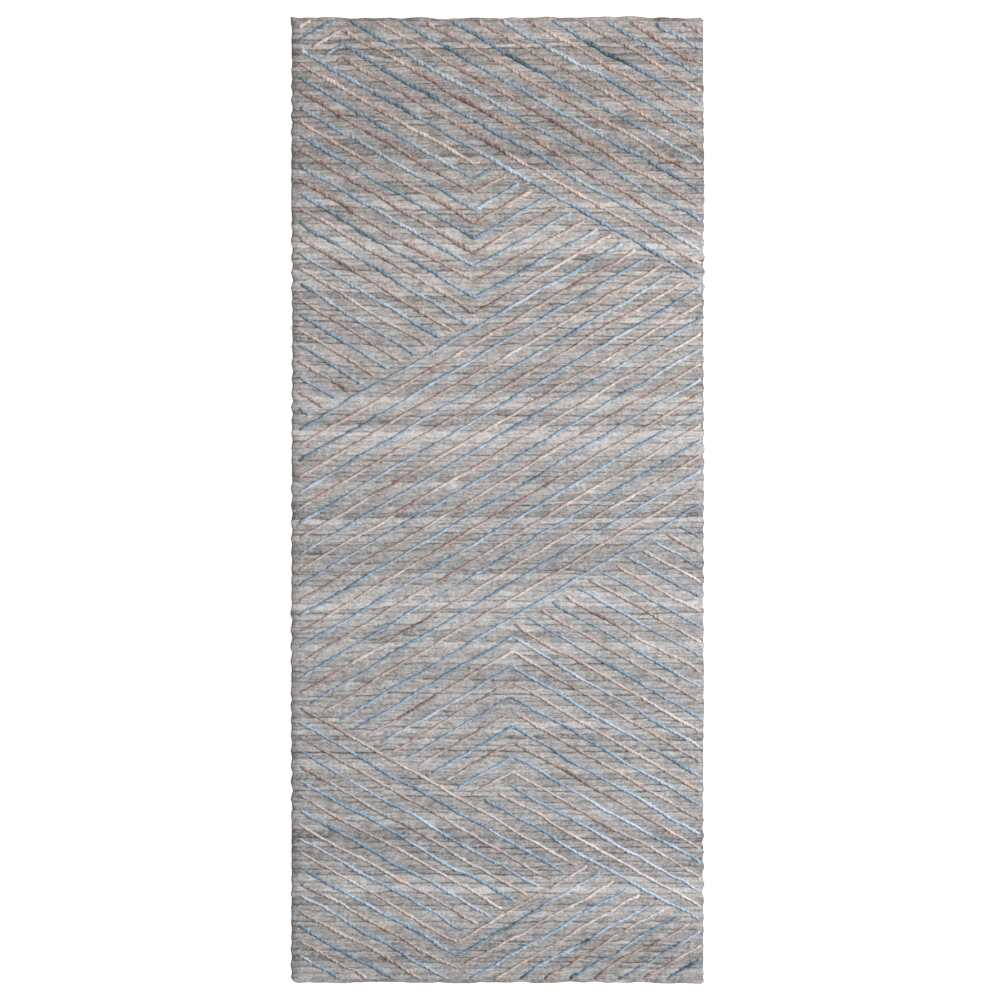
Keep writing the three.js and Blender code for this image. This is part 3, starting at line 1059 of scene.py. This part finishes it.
def lay_yarn(name, line, colour):
    points = lie(line)
    length = float(np.linalg.norm(np.diff(points, axis=0), axis=1).sum())
    turns = max(1, round(length / half_turn))
    yarn = straight_yarn(name, turns)
    shape = points_of(yarn)
    angle = np.arctan2(shape[:, 1], shape[:, 2]) + math.pi * shape[:, 0] / half_turn
    ply = np.cos(angle)
    step = np.rint(shape[:, 0] / (half_turn / turn_steps)).astype(int)
    steps = turns * turn_steps + 1
    place = np.arange(steps) * length / (steps - 1)
    slip = drift(1, steps, 3)[0] * np.clip(np.minimum(place, length - place) / (20 * mm), 0, 1)
    shape[:, 0] = np.maximum.accumulate(place + 2.2 * mm * slip)[step]
    near_end = np.minimum(shape[:, 0], length - shape[:, 0])
    plump = 0.87 + 0.08 * drift(1, steps, 4)[0] + 0.11 * drift(1, steps, 1.3)[0]
    plump = np.clip(plump, 0.62, 1.08)[step] * np.clip(0.6 + near_end / (5 * mm), 0.6, 1)
    along = np.linspace(0, length, len(points))
    lies_x = np.interp(shape[:, 0], along, points[:, 0])
    lies_y = np.interp(shape[:, 0], along, points[:, 1])
    radius = np.hypot(shape[:, 1], shape[:, 2])
    plump *= 1 + (1 - twist_shown(lies_y)) * (round_radius / radius - 1)
    plump *= stoutness(lies_y)
    shape[:, 1:] *= plump[:, None]
    move_points(yarn, shape)
    tone, cast = yarn_dye(shape[:, 0], length, colour, lies_x, lies_y)
    ply_tone = 0.05 * ply - crevice_painted_shade * (1 - np.abs(ply))
    store(yarn, "tone", tone + ply_tone)
    store(yarn, "cast", cast)
    bend_along(yarn, points)
    shape = points_of(yarn)
    shape[:, 2] = np.maximum(shape[:, 2], above_floor)
    move_points(yarn, shape)
    return yarn


# %% [markdown]
# All the yarns of one run are joined to one piece, which stands for the run's node in the frame and
# takes its colour from the node's name.

# %% All the raised yarns
for node in yarn_nodes:
    colour = node.split("_")[0]
    material = blue_wool if colour == "blue" else rose_wool
    parts = []
    for line in yarn_lines[node]:
        parts.append(lay_yarn("one_yarn", line, colour))
    yarn = join(parts, node.replace("_yarn_", "_plied_"))
    dress(yarn, material)
    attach(yarn, "root")
    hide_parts(node)
bpy.data.objects.remove(half_turn_of_yarn)

# %% [markdown]
# ## Loose fibres
#
# Wool sheds. A few short fibres have worked out past the long edges, and the sewing thread of the
# head hem ends in a small knot at the left corner. Each fibre is a curve with a round bevel, turned
# into a mesh, and the knot is a squashed sphere.

# %% Fibres along the edges, and a knot
fibre_points = 9
fibres_on_edge = 7
fibre_end_height = 0.8 * mm


def loose_fibre(start, heading, length):
    """A thin fibre that starts inside the edge, turns at random and comes down near the floor."""
    turning = heading + 0.5 * np.cumsum(chance.standard_normal(fibre_points))
    step = length / fibre_points
    steps = step * np.column_stack([np.cos(turning), np.sin(turning), 0 * turning])
    path = np.array(start) + np.cumsum(steps, axis=0)
    path[:, 2] = np.linspace(start[2], fibre_end_height, fibre_points)
    fibre = poly_curve("fibre", path)
    fibre.data.bevel_depth = 0.4 * mm
    fibre.data.bevel_resolution = 1
    fibre.data.use_fill_caps = True
    select_only(fibre)
    bpy.ops.object.convert(target="MESH")
    return bpy.context.active_object


fibres = []
for side in (-1, 1):
    for place in chance.uniform(0.94 * cad_low.y, 0.94 * cad_high.y, fibres_on_edge):
        start = (side * (cad_high.x - 3 * mm), place, 3 * mm)
        heading = (0 if side > 0 else math.pi) + 0.6 * chance.standard_normal()
        fibres.append(loose_fibre(start, heading, chance.uniform(5, 9) * mm))
deselect_all()
knot_place = (cad_low.x + 3.5 * mm, cad_high.y - 2.5 * mm, 4.2 * mm)
bpy.ops.mesh.primitive_uv_sphere_add(segments=14, ring_count=8, radius=4 * mm, location=knot_place)
knot = bpy.context.active_object
knot.scale = (1.1, 0.9, 0.75)
settle(knot)
fibres = join([knot, *fibres], "loose_fibres")
store(fibres, "tone", np.full(len(fibres.data.vertices), 0.3))
store(fibres, "cast", np.full(len(fibres.data.vertices), 0.8))
dress(fibres, edge_wool)
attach(fibres, "root")
print("loose fibres and knot", len(fibres.data.polygons), "faces")
